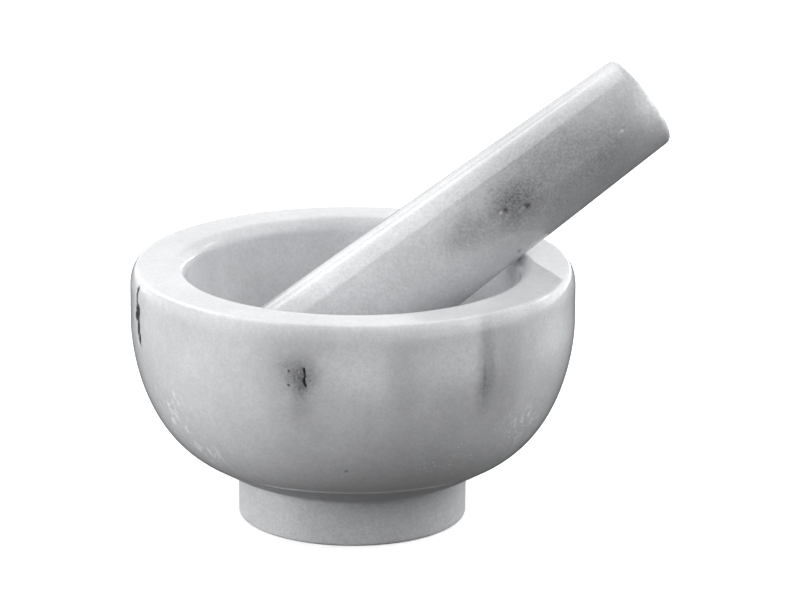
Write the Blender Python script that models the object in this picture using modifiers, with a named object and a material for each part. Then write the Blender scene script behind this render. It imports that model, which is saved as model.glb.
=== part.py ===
"""A marble mortar with its pestle leaning in the bowl.

The bowl stands on the ground plane, its axis is the Z axis, and the middle of the foot's underside is the
origin. The pestle is a separate turned piece that rests on the bowl's inner lip and on the wall of the
hollow. It leans towards +X. Every length below is in millimetres and is turned into metres where it is used.
"""

from math import cos, pi, radians, sin

import bpy
from mathutils import Matrix, Vector

MM = 0.001

# The bowl, from outside
BOWL_RADIUS = 51.0
BOWL_HEIGHT = 59.3
BELLY_HEIGHT = 47.2  # the lowest height at which the wall has its full radius
BELLY_DROP = 36.2  # from there to the point that the wall's curve would reach on the axis
BELLY_SHOULDER = 1.815  # exponent of the curve in height
BELLY_FLANK = 4.32  # exponent of the curve in radius
BELLY_END = 16.2  # height at which the polished curve ends and the plain cone under it begins
UNDER_RADIUS = 30.4  # small end of that cone
UNDER_HEIGHT = 12.4
RIM_ROUND_OUT = 1.9  # the rim's outer edge is a quarter of an ellipse this wide
RIM_ROUND_DOWN = 4.4  # and this high

# The foot
FOOT_RADIUS = 26.3
FOOT_COVE_DROP = 2.2  # height of the hollow curve that joins the foot to the bowl
FOOT_EDGE_ROUND = 0.7

# The hollow
LIP_ROUND = 3.0
LIP_FLAT_RADIUS = 41.3  # where the flat top of the rim ends
FLOOR_HEIGHT = 16.0

# The pestle, a single turned piece that is thickest at its head
HEAD_RADIUS = 13.86
GRIP_RADIUS = 11.48  # at the other end
HEAD_TO_END = 103.25
END_ROUND = 1.4
END_DOME = 0.5

# How it leans: its axis crosses the plane x = 0 at this point
LEAN_ABOVE_LEVEL = radians(32.17)
LEAN_TOWARDS_BACK = radians(20)
CROSSING = Vector((0.0, -3.05, 48.33))
CROSSING_TO_HEAD = 19.0  # down the axis, which leaves the head 0.3 mm clear of the hollow's wall

# How finely the solids are cut: flat faces round each piece, and straight pieces in each curve of a profile
BOWL_TURNS = 72
PESTLE_TURNS = 56
HOLLOW_PIECES = 14
LIP_PIECES = 5
RIM_EDGE_PIECES = 6
BELLY_PIECES = 11
COVE_PIECES = 4
FOOT_EDGE_PIECES = 3
END_DOME_PIECES = 4
END_ROUND_PIECES = 5
HEAD_PIECES = 12

# White-grey marble: the bowl is polished a little brighter than the pestle
BOWL_GREY = (0.62, 0.63, 0.65)
BOWL_ROUGHNESS = 0.18
PESTLE_GREY = (0.64, 0.65, 0.67)
PESTLE_ROUGHNESS = 0.25


def arc(centre_x, centre_z, radius_x, radius_z, start, end, pieces):
    """Points of an ellipse between two angles in degrees, both ends included."""
    points = []
    for i in range(pieces + 1):
        angle = radians(start + (end - start) * i / pieces)
        points.append((centre_x + radius_x * cos(angle), centre_z + radius_z * sin(angle)))
    return points


def belly():
    """The outer wall's curve, from its full radius down to the height where it ends."""
    points = []
    for i in range(1, BELLY_PIECES + 1):
        # The steps get shorter towards the underside, where the curve turns most.
        height = BELLY_HEIGHT - (BELLY_HEIGHT - BELLY_END) * sin(0.5 * pi * i / BELLY_PIECES)
        depth = (BELLY_HEIGHT - height) / BELLY_DROP
        radius = BOWL_RADIUS * (1 - depth**BELLY_SHOULDER) ** (1 / BELLY_FLANK)
        points.append((radius, height))
    return points


def bowl_profile():
    """(radius, height) from the middle of the hollow's floor, over the rim and down to the underside."""
    lip_height = BOWL_HEIGHT - LIP_ROUND
    hollow_radius = LIP_FLAT_RADIUS - LIP_ROUND
    rim_out = BOWL_RADIUS - RIM_ROUND_OUT
    rim_height = BOWL_HEIGHT - RIM_ROUND_DOWN
    cove_out = UNDER_RADIUS - FOOT_RADIUS
    foot_top = UNDER_HEIGHT - FOOT_COVE_DROP
    edge = FOOT_EDGE_ROUND
    points = arc(0, lip_height, hollow_radius, lip_height - FLOOR_HEIGHT, -90, 0, HOLLOW_PIECES)
    points += arc(LIP_FLAT_RADIUS, lip_height, LIP_ROUND, LIP_ROUND, 180, 90, LIP_PIECES)[1:]
    points += arc(rim_out, rim_height, RIM_ROUND_OUT, RIM_ROUND_DOWN, 90, 0, RIM_EDGE_PIECES)
    points += [(BOWL_RADIUS, BELLY_HEIGHT)]
    points += belly()
    points += [(UNDER_RADIUS, UNDER_HEIGHT)]
    points += arc(UNDER_RADIUS, foot_top, cove_out, FOOT_COVE_DROP, 90, 180, COVE_PIECES)[1:]
    points += arc(FOOT_RADIUS - edge, edge, edge, edge, 0, -90, FOOT_EDGE_PIECES)
    points += [(0, 0)]
    return points


def pestle_profile():
    """(radius, height) from the middle of the grip's end down to the head's tip; the head's centre is at 0."""
    shoulder = HEAD_TO_END - END_DOME - END_ROUND
    dome_radius = GRIP_RADIUS - END_ROUND
    points = []
    for i in range(END_DOME_PIECES):
        part = i / END_DOME_PIECES
        points.append((dome_radius * part, HEAD_TO_END - END_DOME * part**2))
    points += arc(dome_radius, shoulder, END_ROUND, END_ROUND, 90, 0, END_ROUND_PIECES)
    points += arc(0, 0, HEAD_RADIUS, HEAD_RADIUS, 0, -90, HEAD_PIECES)
    return points


def material(name, colour, roughness):
    made = bpy.data.materials.new(name)
    made.use_nodes = True
    shader = made.node_tree.nodes["Principled BSDF"]
    shader.inputs["Base Color"].default_value = (*colour, 1)
    shader.inputs["Roughness"].default_value = roughness
    return made


def turned(name, profile, turns, surface, collection):
    """A solid turned round its own Z axis from a profile that starts and ends on the axis."""
    mesh = bpy.data.meshes.new(name)
    corners = [(radius * MM, 0, height * MM) for radius, height in profile]
    lines = [(i, i + 1) for i in range(len(corners) - 1)]
    mesh.from_pydata(corners, lines, [])
    mesh.materials.append(surface)
    solid = bpy.data.objects.new(name, mesh)
    collection.objects.link(solid)
    screw = solid.modifiers.new("Turned", "SCREW")
    screw.axis = "Z"
    screw.steps = turns
    screw.render_steps = turns
    screw.use_merge_vertices = True
    screw.merge_threshold = 0.00001
    screw.use_smooth_shade = True
    return solid


def lean_direction():
    level = cos(LEAN_ABOVE_LEVEL)
    return Vector(
        (level * cos(LEAN_TOWARDS_BACK), level * sin(LEAN_TOWARDS_BACK), sin(LEAN_ABOVE_LEVEL))
    )


def main():
    for old in list(bpy.data.objects):
        bpy.data.objects.remove(old)
    collection = bpy.data.collections.new("MortarAndPestle")
    bpy.context.scene.collection.children.link(collection)

    bowl_stone = material("bowl_marble", BOWL_GREY, BOWL_ROUGHNESS)
    pestle_stone = material("pestle_marble", PESTLE_GREY, PESTLE_ROUGHNESS)
    turned("mortar", bowl_profile(), BOWL_TURNS, bowl_stone, collection)
    pestle = turned("pestle", pestle_profile(), PESTLE_TURNS, pestle_stone, collection)

    # The pestle's origin is the centre of its rounded head, and its own Z axis runs up the grip.
    head = (CROSSING - CROSSING_TO_HEAD * lean_direction()) * MM
    tilt = Matrix.Rotation(pi / 2 - LEAN_ABOVE_LEVEL, 4, "Y")
    heading = Matrix.Rotation(LEAN_TOWARDS_BACK, 4, "Z")
    pestle.matrix_world = Matrix.Translation(head) @ heading @ tilt


main()
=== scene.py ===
"""Looks of the marble mortar and pestle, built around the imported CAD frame.

Both pieces are turned from their outlines as fine meshes, with the natural flaws of the stone cut into
them, and get a procedural marble. The camera, the lights and the floor are a plain studio.

Lengths are in metres, apart from names that end in _MM and from the sizes of flaws and of the marble's
patterns. Those are in millimetres of each piece's own frame, which has the turning axis as its Z axis.
"""

from collections import namedtuple
from math import cos, hypot, pi, radians, sin

import bpy
import numpy as np
from mathutils import Matrix, Quaternion, Vector, noise


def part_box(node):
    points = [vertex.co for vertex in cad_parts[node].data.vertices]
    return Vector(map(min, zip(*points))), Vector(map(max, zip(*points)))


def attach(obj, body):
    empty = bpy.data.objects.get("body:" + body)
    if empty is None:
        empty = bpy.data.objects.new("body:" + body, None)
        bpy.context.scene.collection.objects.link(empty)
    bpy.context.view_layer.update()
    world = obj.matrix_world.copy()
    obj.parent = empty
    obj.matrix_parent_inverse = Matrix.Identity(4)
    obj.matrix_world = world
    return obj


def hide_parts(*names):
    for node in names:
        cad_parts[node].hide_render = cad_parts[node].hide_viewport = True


MM = 0.001

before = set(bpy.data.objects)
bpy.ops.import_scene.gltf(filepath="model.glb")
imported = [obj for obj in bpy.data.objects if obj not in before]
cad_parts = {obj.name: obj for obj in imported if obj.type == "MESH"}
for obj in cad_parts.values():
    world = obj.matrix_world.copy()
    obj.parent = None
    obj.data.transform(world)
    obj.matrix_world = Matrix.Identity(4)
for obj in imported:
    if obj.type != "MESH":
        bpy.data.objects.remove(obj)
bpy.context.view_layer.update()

# ---------------------------------------------------------------- sizes of the bowl
BOWL_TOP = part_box("mortar")[1]
BOWL_RADIUS = BOWL_TOP.x
BOWL_HEIGHT = BOWL_TOP.z
BELLY_HEIGHT = 47.2 * MM  # the lowest height at which the wall has its full radius
BELLY_DROP = 36.2 * MM  # from there to the point that the wall's curve would reach on the axis
BELLY_SHOULDER = 1.815  # exponent of the curve in height
BELLY_FLANK = 4.32  # exponent of the curve in radius
BELLY_END = 16.2 * MM  # the polished wall ends here, and the honed cone begins
UNDER_RADIUS = 30.4 * MM
UNDER_HEIGHT = 12.4 * MM
RIM_ROUND_OUT = 1.9 * MM
RIM_ROUND_DOWN = 4.4 * MM
FOOT_RADIUS = 26.3 * MM
FOOT_COVE_DROP = 2.2 * MM
FOOT_EDGE_ROUND = 0.7 * MM
LIP_ROUND = 3.0 * MM
LIP_FLAT_RADIUS = 41.3 * MM
FLOOR_HEIGHT = 16.0 * MM

# ---------------------------------------------------------------- sizes of the pestle
HEAD_RADIUS = 13.86 * MM
GRIP_RADIUS = 11.48 * MM
END_ROUND = 1.4 * MM
END_DOME = 0.5 * MM

# ---------------------------------------------------------------- the meshes
ROW_STEP = 0.6 * MM  # between rings of points along an outline
FEWEST_ARC_PIECES = 4
BELLY_CURVE_LENGTH = 1.3  # the wall's curve is about this many times as long as it is high
BOWL_COLUMNS = 240
PESTLE_COLUMNS = 210
FLAW_COLUMN_STEP = radians(0.35)  # columns are this close across a flaw
FLAW_REACH = radians(4)  # and for this far on either side of it
SHARP_ANGLE = radians(38)
WAVE_LENGTH = 16 * MM  # the hand-polished surface isn't quite true
WAVE_HEIGHT = 0.03 * MM

# ---------------------------------------------------------------- flaws in the stone
OUTSIDE_SHARE = 0.8  # what is nearer to the axis than this share of the largest radius has no flaws
FLAW_END = 1.35  # a flaw ends at about this many times its half sizes
FLAW_SLOPE = 0.7  # and gets to its full depth over this many
FLAW_LIMIT = 3  # nothing further out than this many can lie in it
JAG_LENGTH = 1.1 * MM  # its edge is ragged at this scale
JAG_SHARE = 0.45  # and by this share of its half sizes

# A natural flaw. It lies at an angle round the axis, in degrees, and at a height above the piece's origin.
# Sizes are in millimetres. A stained flaw is filled with black mineral.
Flaw = namedtuple("Flaw", "angle height half_width half_length depth stained")

BOWL_FLAWS = [
    Flaw(-163.5, 57.1, 0.70, 0.90, 0.15, True),
    Flaw(-163.8, 54.6, 0.65, 1.90, 0.20, True),
    Flaw(-163.0, 52.2, 1.70, 1.90, 0.30, True),
    Flaw(-164.2, 50.9, 1.30, 1.20, 0.30, True),
    Flaw(-162.4, 48.6, 1.10, 2.40, 0.25, True),
    Flaw(-161.3, 46.2, 1.00, 1.30, 0.20, True),
    Flaw(-102.1, 49.3, 0.40, 0.60, 0.25, True),
    Flaw(-101.8, 48.0, 0.22, 0.60, 0.20, True),
    Flaw(-102.1, 46.9, 0.30, 0.70, 0.20, True),
    Flaw(-101.6, 45.7, 0.30, 0.40, 0.20, True),
]
PESTLE_FLAWS = [
    Flaw(-107.5, 58.8, 0.55, 0.60, 0.28, False),
    Flaw(-97.6, 63.6, 0.50, 0.80, 0.28, False),
    Flaw(-100.6, 92.6, 0.50, 0.55, 0.22, False),
]


def arc(centre_radius, centre_height, radius_out, radius_up, start, end):
    """Points of an ellipse between two angles in degrees, both ends included, about a row's step apart."""
    length = abs(radians(end - start)) * max(radius_out, radius_up)
    pieces = max(FEWEST_ARC_PIECES, round(length / ROW_STEP))
    points = []
    for i in range(pieces + 1):
        angle = radians(start + (end - start) * i / pieces)
        points.append((centre_radius + radius_out * cos(angle), centre_height + radius_up * sin(angle)))
    return points


def straight(start, end):
    """Points after start and up to end, about a row's step apart."""
    pieces = max(1, round(hypot(end[0] - start[0], end[1] - start[1]) / ROW_STEP))
    points = []
    for i in range(1, pieces + 1):
        part = i / pieces
        points.append((start[0] + (end[0] - start[0]) * part, start[1] + (end[1] - start[1]) * part))
    return points


def belly():
    """The polished outer wall, from its full radius down to its end."""
    pieces = round(BELLY_CURVE_LENGTH * (BELLY_HEIGHT - BELLY_END) / ROW_STEP)
    points = []
    for i in range(1, pieces + 1):
        height = BELLY_HEIGHT - (BELLY_HEIGHT - BELLY_END) * sin(0.5 * pi * i / pieces)
        depth = (BELLY_HEIGHT - height) / BELLY_DROP
        points.append((BOWL_RADIUS * (1 - depth**BELLY_SHOULDER) ** (1 / BELLY_FLANK), height))
    return points


def bowl_outline():
    """(radius, height) from the middle of the hollow's floor, over the rim and down to the underside.

    Also returns the place in the list of the last polished point.
    """
    lip_height = BOWL_HEIGHT - LIP_ROUND
    hollow_radius = LIP_FLAT_RADIUS - LIP_ROUND
    rim_out = BOWL_RADIUS - RIM_ROUND_OUT
    rim_height = BOWL_HEIGHT - RIM_ROUND_DOWN
    cove_out = UNDER_RADIUS - FOOT_RADIUS
    foot_top = UNDER_HEIGHT - FOOT_COVE_DROP
    edge = FOOT_EDGE_ROUND
    points = arc(0, lip_height, hollow_radius, lip_height - FLOOR_HEIGHT, -90, 0)
    points += arc(LIP_FLAT_RADIUS, lip_height, LIP_ROUND, LIP_ROUND, 180, 90)[1:]
    points += straight(points[-1], (rim_out, BOWL_HEIGHT))
    points += arc(rim_out, rim_height, RIM_ROUND_OUT, RIM_ROUND_DOWN, 90, 0)[1:]
    points += straight(points[-1], (BOWL_RADIUS, BELLY_HEIGHT))
    points += belly()
    last_polished = len(points) - 1
    points += straight(points[-1], (UNDER_RADIUS, UNDER_HEIGHT))
    points += arc(UNDER_RADIUS, foot_top, cove_out, FOOT_COVE_DROP, 90, 180)[1:]
    points += straight(points[-1], (FOOT_RADIUS, edge))
    points += arc(FOOT_RADIUS - edge, edge, edge, edge, 0, -90)[1:]
    points += [(0, 0)]
    return points, last_polished


def pestle_outline(length):
    """(radius, height) from the middle of the grip's end down to the head's tip.

    The head's centre is at height 0, and length is how far the grip's end is from it.
    """
    shoulder = length - END_DOME - END_ROUND
    dome_radius = GRIP_RADIUS - END_ROUND
    dome_rows = round(dome_radius / ROW_STEP)
    points = []
    for i in range(dome_rows):
        part = i / dome_rows
        points.append((dome_radius * part, length - END_DOME * part**2))
    points += arc(dome_radius, shoulder, END_ROUND, END_ROUND, 90, 0)
    points += straight(points[-1], (HEAD_RADIUS, 0))
    points += arc(0, 0, HEAD_RADIUS, HEAD_RADIUS, 0, -90)[1:]
    return points


def column_angles(count, flaws):
    """Angles round the axis: evenly spaced, and close together across the flaws."""
    angles = [2 * pi * i / count - pi for i in range(count)]
    for flaw in flaws:
        middle = radians(flaw.angle)
        angles = [angle for angle in angles if abs(angle - middle) > FLAW_REACH]
        fine = round(FLAW_REACH / FLAW_COLUMN_STEP)
        angles += [middle + FLAW_COLUMN_STEP * i for i in range(-fine, fine + 1)]
    return np.array(sorted(angles))


def waves(places):
    """How far the surface stands out at each point."""
    return np.array([noise.noise(Vector(place) / WAVE_LENGTH) for place in places]) * WAVE_HEIGHT


def flaw_share(places, angles, flaw):
    """How much each point of the outside lies in a flaw: 1 inside it, and 0 away from its ragged edge."""
    radii = np.hypot(places[:, 0], places[:, 1])
    outside = radii > OUTSIDE_SHARE * radii.max()
    turn = (angles - radians(flaw.angle) + pi) % (2 * pi) - pi
    across = turn * radii / (flaw.half_width * MM)
    along = (places[:, 2] - flaw.height * MM) / (flaw.half_length * MM)
    share = np.zeros(len(places))
    near = outside & (abs(across) < FLAW_LIMIT) & (abs(along) < FLAW_LIMIT) & (abs(turn) < pi / 2)
    for i in np.flatnonzero(near):
        ragged = JAG_SHARE * noise.noise(Vector(places[i]) / JAG_LENGTH)
        inside = FLAW_END - hypot(across[i], along[i]) - ragged
        rise = min(max(inside, 0), FLAW_SLOPE) / FLAW_SLOPE
        share[i] = rise * rise * (3 - 2 * rise)
    return share


def turned(name, outline, last_polished, columns, flaws, materials, placing):
    """A turned piece as one closed mesh, with the points' own places kept on it.

    The first material covers the outline up to its last polished point, and the last one what comes after.
    placing takes the piece from its own frame to the scene.
    """
    outline = np.array(outline)
    angles = column_angles(columns, flaws)
    rings = outline[1:-1]
    tangents = outline[2:] - outline[:-2]
    tangents /= np.linalg.norm(tangents, axis=1)[:, None]
    outwards = np.stack([-tangents[:, 1], tangents[:, 0]], axis=1)

    def swept(section):
        """Section vectors (radius, height), carried round the axis."""
        return np.stack([
            np.outer(section[:, 0], np.cos(angles)),
            np.outer(section[:, 0], np.sin(angles)),
            np.repeat(section[:, 1:], len(angles), axis=1),
        ], axis=2).reshape(-1, 3)

    places = swept(rings)
    normals = swept(outwards)
    point_angles = np.tile(angles, len(rings))
    raised = waves(places)
    stain = np.zeros(len(places))
    for flaw in flaws:
        share = flaw_share(places, point_angles, flaw)
        raised -= share * flaw.depth * MM
        if flaw.stained:
            stain = np.maximum(stain, share)
    own = np.vstack([
        places + normals * raised[:, None],
        (0, 0, outline[0, 1]),
        (0, 0, outline[-1, 1]),
    ])

    count = len(angles)
    top = len(places)
    bottom = top + 1
    faces = []
    for j in range(count):
        faces.append((top, j, (j + 1) % count))
    for i in range(len(rings) - 1):
        for j in range(count):
            after = (j + 1) % count
            faces.append((i * count + j, (i + 1) * count + j, (i + 1) * count + after, i * count + after))
    last = (len(rings) - 1) * count
    for j in range(count):
        faces.append((last + j, bottom, last + (j + 1) % count))
    polished_faces = last_polished * count
    face_materials = [0] * polished_faces + [len(materials) - 1] * (len(faces) - polished_faces)

    mesh = bpy.data.meshes.new(name)
    mesh.from_pydata(own.tolist(), [], faces)
    for material in materials:
        mesh.materials.append(material)
    mesh.polygons.foreach_set("material_index", face_materials)
    own_mm = mesh.attributes.new("own_mm", "FLOAT_VECTOR", "POINT")
    own_mm.data.foreach_set("vector", (own / MM).ravel())
    kept_stain = mesh.attributes.new("stain", "FLOAT", "POINT")
    kept_stain.data.foreach_set("value", np.append(stain, (0, 0)))
    mesh.transform(placing)
    mesh.shade_smooth()
    mesh.set_sharp_from_angle(angle=SHARP_ANGLE)
    piece = bpy.data.objects.new(name, mesh)
    bpy.context.scene.collection.objects.link(piece)
    return piece


def pestle_place():
    """The pestle's own frame, and how far the grip's end is from its origin.

    The origin is the head's centre, and +Z runs up the grip. That axis is the long direction of the CAD
    solid's points.
    """
    points = np.array([point.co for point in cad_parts["pestle"].data.vertices])
    axis = np.linalg.svd(points - points.mean(0), full_matrices=False)[2][0]
    axis = Vector(axis * np.sign(axis[2])).normalized()
    along = (points - points.mean(0)) @ np.array(axis)
    head = Vector(points.mean(0)) + axis * (along.min() + HEAD_RADIUS)
    sideways = Vector((0, 0, 1)).cross(axis).normalized()
    downwards = sideways.cross(axis)
    turn = Matrix((downwards, sideways, axis)).transposed().to_4x4()
    return Matrix.Translation(head) @ turn, along.max() - along.min() - HEAD_RADIUS


# ---------------------------------------------------------------- the marble

# Sizes of its patterns, in millimetres
BROAD_SIZE = 26.0
MOTTLE_SIZE = 2.6
CRYSTAL_SIZE = 0.50
FINE_SIZE = 0.45
SPECK_SIZE = 0.55
FLECK_SIZE = 0.9
STREAK_SIZE = 1.6
STREAK_SQUEEZE = (1.0, 1.0, 0.3)  # streaks are longer along the turning axis
DRIFT_SIZE = 4.0
DRIFT_REACH = 3.5  # clouds and streaks wander by up to half of this

# What the patterns multiply the stone's tone by, at their lowest and at their highest
BROAD_TONES = (0.93, 1.06)
MOTTLE_TONES = (0.96, 1.04)

# Noise is seldom far from its middle value of 0.5. A pattern is at its lowest and at its highest here.
NOISE_RANGE = (0.3, 0.7)
MOTTLE_RANGE = (0.25, 0.75)

# Clouds are made of dark specks that crowd together: a cloud's strength in a speck, and between specks
# The painted light and shade among the patches are speckled and bounded the same way.
CLOUD_STRENGTHS = (1.25, 0.75)
CLOUD_LIMIT = 0.85  # the most that clouds and grains darken or lighten the stone
PATCH_CORE = 0.1  # a patch has its full strength within this share of its reach

# A fleck is a white spot in a cell of the stone. Only cells with a high value of their own have one.
FLECK_EDGE = (0.18, 0.34)  # from the spot's middle to where it ends, in cells
FLECK_CELLS = (0.45, 0.85)
# Painted glint: flecks are as white as the glints off the crystals' facets.
FLECK_WHITE = 0.70
STREAK_EDGE = (0.53, 0.64)  # streaks lie where their noise is above this
# Painted reflection: streaks are as pale as the light mirrored in the wavy polish.
STREAK_WHITE = 0.34

# Black mineral in the flaws
STAIN_EDGE = (0.15, 0.85)
STAIN_TONE = 0.06
STAIN_ROUGHNESS = 0.6

REFRACTIVE_INDEX = 1.56
SCATTER_SHARE = 0.35
SCATTER_DEPTH = 1.5 * MM

BOWL_GREY = (0.635, 0.64, 0.655)
PESTLE_GREY = (0.56, 0.565, 0.58)
HONED_GREY = (0.565, 0.57, 0.585)

# A place in the stone that differs from the rest: its middle by angle, radius and height, its reach along
# X, Y and Z of the piece's own frame, and how strong it is in its middle. All in millimetres and degrees.
# A patch is either a mark of the stone or painted light and shade.
Patch = namedtuple("Patch", "angle radius height reach_x reach_y reach_z strength")

# Grey clouds and painted light. The strength is the share of the colour that they take, and below 0 the
# colour is paler there.
BOWL_CLOUDS_AND_PAINTED_LIGHT = [
    Patch(-103.4, 51.0, 48.0, 6.2, 9.0, 6.6, 0.42),
    Patch(-102.9, 51.0, 42.0, 3.8, 9.0, 10.0, 0.16),
    Patch(-103.5, 51.0, 46.0, 13.0, 13.0, 18.0, 0.14),
    Patch(-54.4, 51.0, 48.0, 3.6, 3.6, 20.0, 0.30),
    Patch(-50.0, 51.0, 46.0, 9.0, 9.0, 24.0, 0.18),
    Patch(-77.5, 51.0, 48.0, 6.0, 9.0, 15.0, 0.14),
    # Painted light: these three paler patches brighten the upper front wall, in place of light from the
    # front.
    Patch(-86.0, 53.0, 51.0, 16.0, 18.0, 12.0, -0.20),
    Patch(-63.0, 53.0, 51.0, 16.0, 18.0, 12.0, -0.24),
    Patch(-26.0, 53.0, 51.0, 16.0, 18.0, 13.0, -0.18),
    # Painted light: this paler patch brightens the inner right wall where the pestle's shadow falls.
    Patch(15.0, 37.0, 50.0, 18.0, 24.0, 17.0, -0.42),
]
PESTLE_CLOUDS_AND_PAINTED_LIGHT = [
    Patch(-106.0, 12.4, 61.5, 7.5, 8.0, 10.0, 0.28),
    Patch(-112.0, 12.7, 49.0, 6.0, 7.0, 9.0, 0.24),
    # Painted shade: this broad grey patch darkens the front-facing middle of the pestle, where its polish
    # mirrors the dark front.
    Patch(-112.0, 12.1, 73.0, 22.0, 22.0, 36.0, 0.37),
    Patch(-80.0, 11.9, 88.0, 12.0, 12.0, 11.0, 0.16),
    # Painted light: this paler patch brightens the grip's end, as light on its rounding would.
    Patch(-97.0, 12.5, 104.0, 13.0, 9.0, 9.0, -0.62),
]
# Single dark grains, and pale ones with a strength below 0
BOWL_GRAINS = [
    Patch(-91.8, 44.6, 24.2, 0.7, 0.9, 0.7, 0.45),
    Patch(-106.0, 51.0, 48.9, 0.5, 0.9, 0.5, 0.45),
    Patch(-106.1, 51.0, 45.6, 0.6, 0.9, 0.6, 0.45),
    Patch(-55.0, 51.0, 44.0, 0.8, 0.9, 9.0, 0.16),
    Patch(-56.2, 51.0, 38.6, 0.8, 0.9, 2.0, 0.20),
]
PESTLE_GRAINS_AND_PAINTED_PIT_LIGHT = [
    Patch(-52.2, 12.5, 57.7, 0.9, 0.9, 0.9, 0.50),
    # Painted highlights and shade at the three pits: a pale dot on each, with a dark grain of painted shade
    # beside the first two.
    Patch(-107.5, 12.5, 58.6, 0.7, 0.7, 0.7, -0.50),
    Patch(-106.5, 12.5, 59.8, 0.9, 0.9, 0.9, 0.25),
    Patch(-97.6, 12.4, 63.4, 0.6, 0.6, 0.9, -0.60),
    Patch(-96.6, 12.4, 64.6, 0.9, 0.9, 1.1, 0.30),
    Patch(-100.6, 11.7, 92.6, 0.7, 0.7, 0.7, -0.60),
]
# White crystals close under the surface, painted as bright as the glints off their facets
BOWL_FLECKS_AND_GLINTS = [
    Patch(-38.0, 47.0, 28.5, 13.0, 13.0, 10.0, 1.0),
    Patch(-62.0, 44.0, 25.0, 14.0, 12.0, 9.0, 0.7),
]
# Pale marks of the stone low on the wall, painted as bright as the reflections in the wavy polish there.
BOWL_STREAKS_AND_REFLECTIONS = [
    Patch(-146.0, 49.0, 32.0, 9.0, 14.0, 12.0, 1.0),
    Patch(-136.0, 46.0, 22.5, 9.0, 12.0, 7.0, 1.0),
    Patch(-36.0, 48.0, 29.0, 8.0, 12.0, 9.0, 0.9),
]


class Nodes:
    """Short ways to add the nodes that the marble is made of."""

    def __init__(self, tree):
        self.tree = tree

    def add(self, kind, **settings):
        node = self.tree.nodes.new(kind)
        for name, value in settings.items():
            setattr(node, name, value)
        return node

    def put(self, value, socket):
        """value is another node's output, or a plain number, vector or colour."""
        if isinstance(value, bpy.types.NodeSocket):
            self.tree.links.new(value, socket)
        else:
            socket.default_value = value

    def math(self, operation, *values):
        node = self.add("ShaderNodeMath", operation=operation)
        for value, socket in zip(values, node.inputs):
            self.put(value, socket)
        return node.outputs[0]

    def vector(self, operation, *values):
        node = self.add("ShaderNodeVectorMath", operation=operation)
        for value, socket in zip(values, node.inputs):
            self.put(value, socket)
        return node.outputs["Value" if operation == "LENGTH" else "Vector"]

    def scaled(self, vector, factor):
        node = self.add("ShaderNodeVectorMath", operation="SCALE")
        self.put(vector, node.inputs["Vector"])
        self.put(factor, node.inputs["Scale"])
        return node.outputs[0]

    def channel(self, colour, number):
        node = self.add("ShaderNodeSeparateColor")
        self.put(colour, node.inputs[0])
        return node.outputs[number]

    def ramp(self, value, low, high, at_low, at_high, smooth=True):
        """value from low to high becomes at_low to at_high, and stays within them."""
        node = self.add("ShaderNodeMapRange", interpolation_type="SMOOTHSTEP" if smooth else "LINEAR")
        for given, socket in zip((value, low, high, at_low, at_high), node.inputs):
            self.put(given, socket)
        return node.outputs[0]

    def noise(self, vector, size, detail=2.0, roughness=0.5, distortion=0.0):
        node = self.add("ShaderNodeTexNoise")
        self.put(vector, node.inputs["Vector"])
        node.inputs["Scale"].default_value = 1 / size
        node.inputs["Detail"].default_value = detail
        node.inputs["Roughness"].default_value = roughness
        node.inputs["Distortion"].default_value = distortion
        return node

    def cells(self, vector, size):
        node = self.add("ShaderNodeTexVoronoi")
        self.put(vector, node.inputs["Vector"])
        node.inputs["Scale"].default_value = 1 / size
        return node


def strength_in(nodes, place, patch):
    """The patch's own strength in its middle, and 0 outside it."""
    turn = radians(patch.angle)
    middle = (patch.radius * cos(turn), patch.radius * sin(turn), patch.height)
    reach = (1 / patch.reach_x, 1 / patch.reach_y, 1 / patch.reach_z)
    offset = nodes.vector("SUBTRACT", place, middle)
    distance = nodes.vector("LENGTH", nodes.vector("MULTIPLY", offset, reach))
    return nodes.ramp(distance, PATCH_CORE, 1.0, patch.strength, 0.0)


def summed(nodes, place, patches):
    total = 0.0
    for patch in patches:
        total = nodes.math("ADD", total, strength_in(nodes, place, patch))
    return total


def wandering(nodes, place):
    """Places bent by noise, so that what is laid out in them wanders."""
    drift = nodes.noise(place, DRIFT_SIZE, detail=4.0, roughness=0.7).outputs["Color"]
    centred = nodes.vector("SUBTRACT", drift, (0.5, 0.5, 0.5))
    return nodes.vector("ADD", place, nodes.scaled(centred, DRIFT_REACH))


# White crystals, painted as bright as the glints off their facets.
def white_flecks_and_glints(nodes, place, flecks_and_glints):
    spots = nodes.cells(place, FLECK_SIZE)
    chosen = nodes.channel(spots.outputs["Color"], 1)
    spot = nodes.math(
        "MULTIPLY",
        nodes.ramp(spots.outputs["Distance"], *FLECK_EDGE, 1.0, 0.0),
        nodes.ramp(chosen, *FLECK_CELLS, 0.0, FLECK_WHITE),
    )
    return nodes.math("MULTIPLY", spot, summed(nodes, place, flecks_and_glints))


# Pale streaks, painted as bright as the reflections in the wavy polish.
def white_streaks_and_reflections(nodes, place, bent, streaks_and_reflections):
    squeezed = nodes.vector("MULTIPLY", bent, STREAK_SQUEEZE)
    stroke = nodes.noise(squeezed, STREAK_SIZE, detail=2.0, distortion=0.6).outputs["Fac"]
    stroke = nodes.ramp(stroke, *STREAK_EDGE, 0.0, STREAK_WHITE)
    return nodes.math("MULTIPLY", stroke, summed(nodes, place, streaks_and_reflections))


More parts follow.
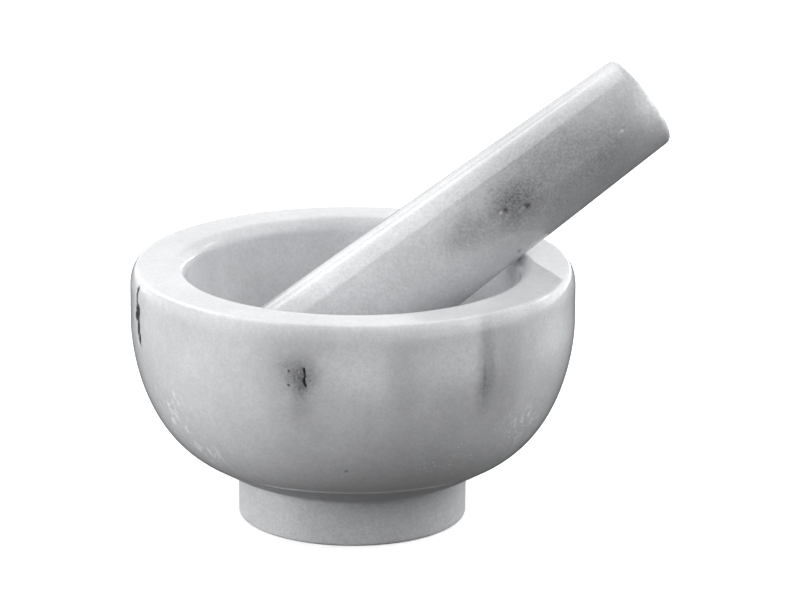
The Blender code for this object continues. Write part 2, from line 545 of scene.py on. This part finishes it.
def marble(name, grey, roughness, grain, grain_bump, clouds_and_painted_light, grains_and_painted_light, flecks_and_glints=(), streaks_and_reflections=()):
    """White-grey crystalline marble, with some light and shade painted into its colour.

    roughness is (lowest, highest), grain is how much the crystals differ in tone, and grain_bump is their
    height in millimetres.
    """
    material = bpy.data.materials.new(name)
    material.use_nodes = True
    nodes = Nodes(material.node_tree)
    shader = material.node_tree.nodes["Principled BSDF"]

    place = nodes.add("ShaderNodeAttribute", attribute_name="own_mm").outputs["Vector"]
    stain = nodes.add("ShaderNodeAttribute", attribute_name="stain").outputs["Fac"]
    bent = wandering(nodes, place)

    broad = nodes.noise(bent, BROAD_SIZE, detail=4.0, roughness=0.6).outputs["Fac"]
    mottle = nodes.noise(place, MOTTLE_SIZE, detail=3.0, roughness=0.65).outputs["Fac"]
    crystal = nodes.channel(nodes.cells(place, CRYSTAL_SIZE).outputs["Color"], 0)
    fine = nodes.noise(place, FINE_SIZE, detail=3.0, roughness=0.7).outputs["Fac"]
    grain_tones = (1.0 - grain, 1.0 + grain)
    colour = nodes.ramp(broad, *NOISE_RANGE, *BROAD_TONES)
    for tone in (
        nodes.ramp(mottle, *MOTTLE_RANGE, *MOTTLE_TONES, smooth=False),
        nodes.ramp(crystal, 0.0, 1.0, *grain_tones, smooth=False),
        nodes.ramp(fine, *NOISE_RANGE, *grain_tones, smooth=False),
    ):
        colour = nodes.math("MULTIPLY", colour, tone)

    speck = nodes.noise(place, SPECK_SIZE, detail=3.0, roughness=0.75).outputs["Fac"]
    # Clouds and grains, with the painted light and shade among the patches.
    cloud_and_painted_light = nodes.math(
        "MULTIPLY", summed(nodes, bent, clouds_and_painted_light), nodes.ramp(speck, *NOISE_RANGE, *CLOUD_STRENGTHS)
    )
    cloud_and_painted_light = nodes.math("ADD", cloud_and_painted_light, summed(nodes, place, grains_and_painted_light))
    clear = nodes.ramp(cloud_and_painted_light, -CLOUD_LIMIT, CLOUD_LIMIT, 1 + CLOUD_LIMIT, 1 - CLOUD_LIMIT, smooth=False)
    colour = nodes.math("MULTIPLY", colour, clear)
    if flecks_and_glints:
        colour = nodes.math("ADD", colour, white_flecks_and_glints(nodes, place, flecks_and_glints))
    if streaks_and_reflections:
        colour = nodes.math("ADD", colour, white_streaks_and_reflections(nodes, place, bent, streaks_and_reflections))
    colour = nodes.math("MULTIPLY", colour, nodes.ramp(stain, *STAIN_EDGE, 1.0, STAIN_TONE))

    tinted = nodes.add("ShaderNodeCombineColor")
    for channel, share in enumerate(grey):
        nodes.put(nodes.math("MULTIPLY", colour, share), tinted.inputs[channel])
    nodes.put(tinted.outputs[0], shader.inputs["Base Color"])

    rough = nodes.ramp(mottle, *NOISE_RANGE, *roughness, smooth=False)
    rough = nodes.math("MAXIMUM", rough, nodes.math("MULTIPLY", stain, STAIN_ROUGHNESS))
    nodes.put(rough, shader.inputs["Roughness"])

    bump = nodes.add("ShaderNodeBump")
    bump.inputs["Distance"].default_value = grain_bump * MM
    nodes.put(nodes.math("ADD", fine, crystal), bump.inputs["Height"])
    nodes.put(bump.outputs[0], shader.inputs["Normal"])

    shader.inputs["IOR"].default_value = REFRACTIVE_INDEX
    shader.inputs["Subsurface Weight"].default_value = SCATTER_SHARE
    shader.inputs["Subsurface Radius"].default_value = (1.0, 1.0, 1.0)
    shader.inputs["Subsurface Scale"].default_value = SCATTER_DEPTH
    return material


def make_bowl():
    polished = marble(
        "bowl_marble_polished",
        BOWL_GREY,
        roughness=(0.04, 0.09),
        grain=0.045,
        grain_bump=0.001,
        clouds_and_painted_light=BOWL_CLOUDS_AND_PAINTED_LIGHT,
        grains_and_painted_light=BOWL_GRAINS,
        flecks_and_glints=BOWL_FLECKS_AND_GLINTS,
        streaks_and_reflections=BOWL_STREAKS_AND_REFLECTIONS,
    )
    honed = marble(
        "bowl_marble_honed",
        HONED_GREY,
        roughness=(0.5, 0.65),
        grain=0.07,
        grain_bump=0.02,
        clouds_and_painted_light=BOWL_CLOUDS_AND_PAINTED_LIGHT,
        grains_and_painted_light=BOWL_GRAINS,
    )
    outline, last_polished = bowl_outline()
    where_it_stands = Matrix.Identity(4)
    piece = turned(
        "mortar_stone", outline, last_polished, BOWL_COLUMNS, BOWL_FLAWS, [polished, honed], where_it_stands
    )
    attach(piece, "mortar")
    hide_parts("mortar")


def make_pestle():
    polished = marble(
        "pestle_marble_polished",
        PESTLE_GREY,
        roughness=(0.04, 0.07),
        grain=0.065,
        grain_bump=0.001,
        clouds_and_painted_light=PESTLE_CLOUDS_AND_PAINTED_LIGHT,
        grains_and_painted_light=PESTLE_GRAINS_AND_PAINTED_PIT_LIGHT,
    )
    where_it_leans, length = pestle_place()
    outline = pestle_outline(length)
    last_polished = len(outline) - 1
    piece = turned(
        "pestle_stone", outline, last_polished, PESTLE_COLUMNS, PESTLE_FLAWS, [polished], where_it_leans
    )
    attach(piece, "pestle")
    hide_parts("pestle")


# ---------------------------------------------------------------- the studio

CAMERA_PLACE = (0.0, -1.06694, 0.36677)
CAMERA_BELOW_LEVEL = radians(16.50)
CAMERA_RIGHT_OF_Y = radians(0.579)
CAMERA_ROLL = radians(0.348)
CAMERA_LENS_MM = 218.2
CAMERA_SENSOR_MM = 36

# A soft box, by where it stands as seen from the bowl: degrees round from +Y towards +X, degrees above the
# horizon, and distance; then its width, height and radiance, and how far it is rolled, in degrees.
SoftBox = namedtuple("SoftBox", "round_from_back above distance width height radiance roll")

# Fills light the stone and aren't mirrored in it.
FILLS = {
    "left_fill": SoftBox(-100, 30, 1.1, 1.0, 0.8, 1.9, 0),
    "front_left_fill": SoftBox(-137, 18, 1.1, 0.9, 0.5, 3.7, 0),
    "left_low_fill": SoftBox(-90, 8, 1.1, 1.2, 0.35, 5.1, 0),
    "right_fill": SoftBox(84, 30, 1.1, 0.8, 0.8, 3.8, 0),
    "front_high_fill": SoftBox(180, 48, 1.1, 1.2, 0.6, 1.5, 0),
}
# Panels are mirrored in the polish and light nothing. The first two make the pale band along the pestle,
# and the window makes small highlights on the rim's rounded edges.
PANELS = {
    "left_panel": SoftBox(-62, 53, 1.1, 1.15, 0.7, 2.4, 27),
    "back_left_panel": SoftBox(-30, 28, 1.1, 0.55, 0.6, 1.2, 27),
    "right_panel": SoftBox(84, 30, 1.1, 1.4, 0.22, 2.2, 0),
    "window": SoftBox(27, 3, 1.1, 0.55, 0.07, 12.0, 0),
}
# The room's own light from behind, from the right and from far below. The front is dark.
ROOM_BACK = 1.30
ROOM_RIGHT = 1.00
ROOM_BELOW = 0.14
# It changes with a direction's own parts backwards, rightwards and upwards, each from -1 to 1.
BACK_RANGE = (0.1, 0.9)
RIGHT_RANGE = (0.2, 0.9)
HORIZON_RANGE = (-0.10, 0.03)
BELOW_RANGE = (-0.6, -0.35)

FLOOR_REACH = 12
FLOOR_GREY = 0.9
FLOOR_ROUGHNESS = 0.5
FLOOR_GLOW = 0.38


def add_camera():
    lens = bpy.data.cameras.new("Camera")
    lens.lens = CAMERA_LENS_MM
    lens.sensor_width = CAMERA_SENSOR_MM
    camera = bpy.data.objects.new("Camera", lens)
    bpy.context.scene.collection.objects.link(camera)
    turn = Matrix.Rotation(-CAMERA_RIGHT_OF_Y, 4, "Z")
    tip = Matrix.Rotation(pi / 2 - CAMERA_BELOW_LEVEL, 4, "X")
    roll = Matrix.Rotation(CAMERA_ROLL, 4, "Z")
    camera.matrix_world = Matrix.Translation(CAMERA_PLACE) @ turn @ tip @ roll
    bpy.context.scene.camera = camera


def add_soft_box(name, box, fills):
    lamp = bpy.data.lights.new(name, "AREA")
    lamp.shape = "RECTANGLE"
    lamp.size = box.width
    lamp.size_y = box.height
    lamp.energy = box.radiance * pi * box.width * box.height
    light = bpy.data.objects.new(name, lamp)
    bpy.context.scene.collection.objects.link(light)
    turn = radians(box.round_from_back)
    rise = radians(box.above)
    towards = Vector((sin(turn) * cos(rise), cos(turn) * cos(rise), sin(rise)))
    aim = Vector((0, 0, BOWL_HEIGHT))
    light.location = aim + towards * box.distance
    light.rotation_mode = "QUATERNION"
    light.rotation_quaternion = towards.to_track_quat("Z", "Y") @ Quaternion((0, 0, 1), radians(box.roll))
    light.visible_diffuse = fills
    light.visible_glossy = not fills


def add_surroundings():
    """A room that is white behind, pale on the right, dark in front and nearly dark below."""
    world = bpy.data.worlds.new("Surroundings")
    world.use_nodes = True
    bpy.context.scene.world = world
    nodes = Nodes(world.node_tree)
    direction = nodes.add("ShaderNodeSeparateXYZ")
    nodes.put(nodes.add("ShaderNodeTexCoord").outputs["Generated"], direction.inputs[0])
    right, back, up = direction.outputs
    walls = nodes.math(
        "ADD",
        nodes.ramp(back, *BACK_RANGE, 0.0, ROOM_BACK),
        nodes.ramp(right, *RIGHT_RANGE, 0.0, ROOM_RIGHT),
    )
    level = nodes.math(
        "ADD",
        nodes.math("MULTIPLY", walls, nodes.ramp(up, *HORIZON_RANGE, 0.0, 1.0)),
        nodes.ramp(up, *BELOW_RANGE, ROOM_BELOW, 0.0),
    )
    # Behind the object the room is white, from whatever side it is seen.
    seen = nodes.add("ShaderNodeLightPath").outputs["Is Camera Ray"]
    level = nodes.math("MAXIMUM", level, seen)
    background = world.node_tree.nodes["Background"]
    background.inputs["Color"].default_value = (1, 1, 1, 1)
    nodes.put(level, background.inputs["Strength"])


def add_floor():
    material = bpy.data.materials.new("pale_floor")
    material.use_nodes = True
    shader = material.node_tree.nodes["Principled BSDF"]
    shader.inputs["Base Color"].default_value = (FLOOR_GREY, FLOOR_GREY, FLOOR_GREY, 1)
    shader.inputs["Roughness"].default_value = FLOOR_ROUGHNESS
    shader.inputs["Emission Color"].default_value = (1, 1, 1, 1)
    shader.inputs["Emission Strength"].default_value = FLOOR_GLOW
    reach = FLOOR_REACH
    corners = [(-reach, -reach, 0), (reach, -reach, 0), (reach, reach, 0), (-reach, reach, 0)]
    mesh = bpy.data.meshes.new("floor")
    mesh.from_pydata(corners, [], [(0, 1, 2, 3)])
    mesh.materials.append(material)
    floor = bpy.data.objects.new("floor", mesh)
    bpy.context.scene.collection.objects.link(floor)
    # The stone takes its reflections and bounced light from the dark below, as over a dark table.
    floor.visible_diffuse = False
    floor.visible_glossy = False


make_bowl()
make_pestle()
add_camera()
for box_name, soft_box in FILLS.items():
    add_soft_box(box_name, soft_box, fills=True)
for box_name, soft_box in PANELS.items():
    add_soft_box(box_name, soft_box, fills=False)
add_surroundings()
add_floor()
bpy.context.scene.view_settings.view_transform = "Standard"
